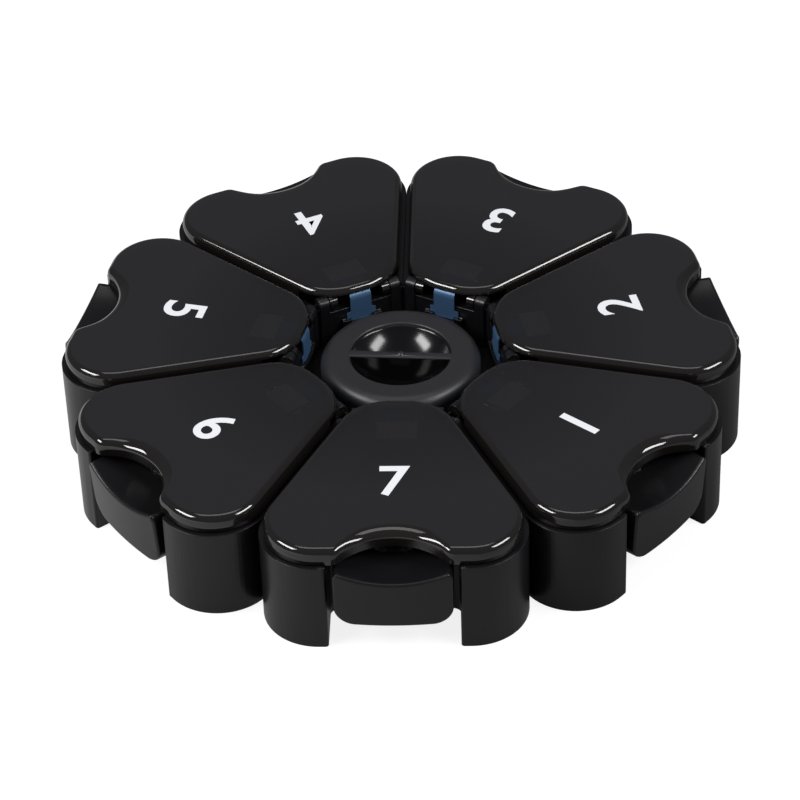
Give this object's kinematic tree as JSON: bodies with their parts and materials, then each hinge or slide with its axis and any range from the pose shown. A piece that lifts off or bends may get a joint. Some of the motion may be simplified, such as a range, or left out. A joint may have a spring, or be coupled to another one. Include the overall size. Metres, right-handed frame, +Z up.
{
  "type": "weekly pill organizer",
  "caption": "Round pill organizer: petal-shaped cups about a hub with a grip bar, each with a smoky spring-up lid and a push button in its outer edge.",
  "frame": {"origin": "middle of the underside, on the hub's axis", "axes": "+Z up; the first petal points along -Y, and the others follow counter-clockwise from above"},
  "size_m": [0.154, 0.1528, 0.0259],
  "materials": {
    "tray": "satin",
    "lid": "gloss",
    "button": "matte",
    "spring_steel": "polished"
  },
  "bodies": {
    "tray": {"hub": "tray", "cup_1": "tray", "cup_2": "tray", "cup_3": "tray", "cup_4": "tray", "cup_5": "tray", "cup_6": "tray", "cup_7": "tray", "leaf_spring_1": "spring_steel", "leaf_spring_2": "spring_steel", "leaf_spring_3": "spring_steel", "leaf_spring_4": "spring_steel", "leaf_spring_5": "spring_steel", "leaf_spring_6": "spring_steel", "leaf_spring_7": "spring_steel", "button_spring_1": "spring_steel", "button_spring_2": "spring_steel", "button_spring_3": "spring_steel", "button_spring_4": "spring_steel", "button_spring_5": "spring_steel", "button_spring_6": "spring_steel", "button_spring_7": "spring_steel"},
    "lid_1": {"lid_1": "lid"},
    "lid_2": {"lid_2": "lid"},
    "lid_3": {"lid_3": "lid"},
    "lid_4": {"lid_4": "lid"},
    "lid_5": {"lid_5": "lid"},
    "lid_6": {"lid_6": "lid"},
    "lid_7": {"lid_7": "lid"},
    "button_1": {"button_1": "button"},
    "button_2": {"button_2": "button"},
    "button_3": {"button_3": "button"},
    "button_4": {"button_4": "button"},
    "button_5": {"button_5": "button"},
    "button_6": {"button_6": "button"},
    "button_7": {"button_7": "button"}
  },
  "joints": [
    {"name": "lid_1_hinge", "type": "hinge", "parent": "tray", "child": "lid_1", "pos_m": [0, -0.024, 0.0223], "axis": [1, 0, 0], "range_deg": [-85, 0], "deforming": ["leaf_spring_1"]},
    {"name": "lid_2_hinge", "type": "hinge", "parent": "tray", "child": "lid_2", "pos_m": [0.01876, -0.01496, 0.0223], "axis": [-0.6235, -0.7818, 0], "range_deg": [0, 85], "deforming": ["leaf_spring_2"]},
    {"name": "lid_3_hinge", "type": "hinge", "parent": "tray", "child": "lid_3", "pos_m": [0.0234, 0.00534, 0.0223], "axis": [-0.2225, 0.9749, 0], "range_deg": [-85, 0], "deforming": ["leaf_spring_3"]},
    {"name": "lid_4_hinge", "type": "hinge", "parent": "tray", "child": "lid_4", "pos_m": [0.01041, 0.02162, 0.0223], "axis": [0.901, -0.4339, 0], "range_deg": [0, 85], "deforming": ["leaf_spring_4"]},
    {"name": "lid_5_hinge", "type": "hinge", "parent": "tray", "child": "lid_5", "pos_m": [-0.01041, 0.02162, 0.0223], "axis": [0.901, 0.4339, 0], "range_deg": [0, 32], "deforming": ["leaf_spring_5"]},
    {"name": "lid_6_hinge", "type": "hinge", "parent": "tray", "child": "lid_6", "pos_m": [-0.0234, 0.00534, 0.0223], "axis": [-0.2225, -0.9749, 0], "range_deg": [-85, 0], "deforming": ["leaf_spring_6"]},
    {"name": "lid_7_hinge", "type": "hinge", "parent": "tray", "child": "lid_7", "pos_m": [-0.01876, -0.01496, 0.0223], "axis": [-0.6235, 0.7818, 0], "range_deg": [0, 85], "deforming": ["leaf_spring_7"]},
    {"name": "button_1_press", "type": "slide", "parent": "tray", "child": "button_1", "axis": [0, 1, 0], "range_m": [0, 0.002], "stiffness_N_per_m": 900, "deforming": ["button_spring_1"]},
    {"name": "button_2_press", "type": "slide", "parent": "tray", "child": "button_2", "axis": [-0.7818, 0.6235, 0], "range_m": [0, 0.002], "stiffness_N_per_m": 900, "deforming": ["button_spring_2"]},
    {"name": "button_3_press", "type": "slide", "parent": "tray", "child": "button_3", "axis": [-0.9749, -0.2225, 0], "range_m": [0, 0.002], "stiffness_N_per_m": 900, "deforming": ["button_spring_3"]},
    {"name": "button_4_press", "type": "slide", "parent": "tray", "child": "button_4", "axis": [-0.4339, -0.901, 0], "range_m": [0, 0.002], "stiffness_N_per_m": 900, "deforming": ["button_spring_4"]},
    {"name": "button_5_press", "type": "slide", "parent": "tray", "child": "button_5", "axis": [0.4339, -0.901, 0], "range_m": [0, 0.002], "stiffness_N_per_m": 900, "deforming": ["button_spring_5"]},
    {"name": "button_6_press", "type": "slide", "parent": "tray", "child": "button_6", "axis": [0.9749, -0.2225, 0], "range_m": [0, 0.002], "stiffness_N_per_m": 900, "deforming": ["button_spring_6"]},
    {"name": "button_7_press", "type": "slide", "parent": "tray", "child": "button_7", "axis": [0.7818, 0.6235, 0], "range_m": [0, 0.002], "stiffness_N_per_m": 900, "deforming": ["button_spring_7"]}
  ]
}
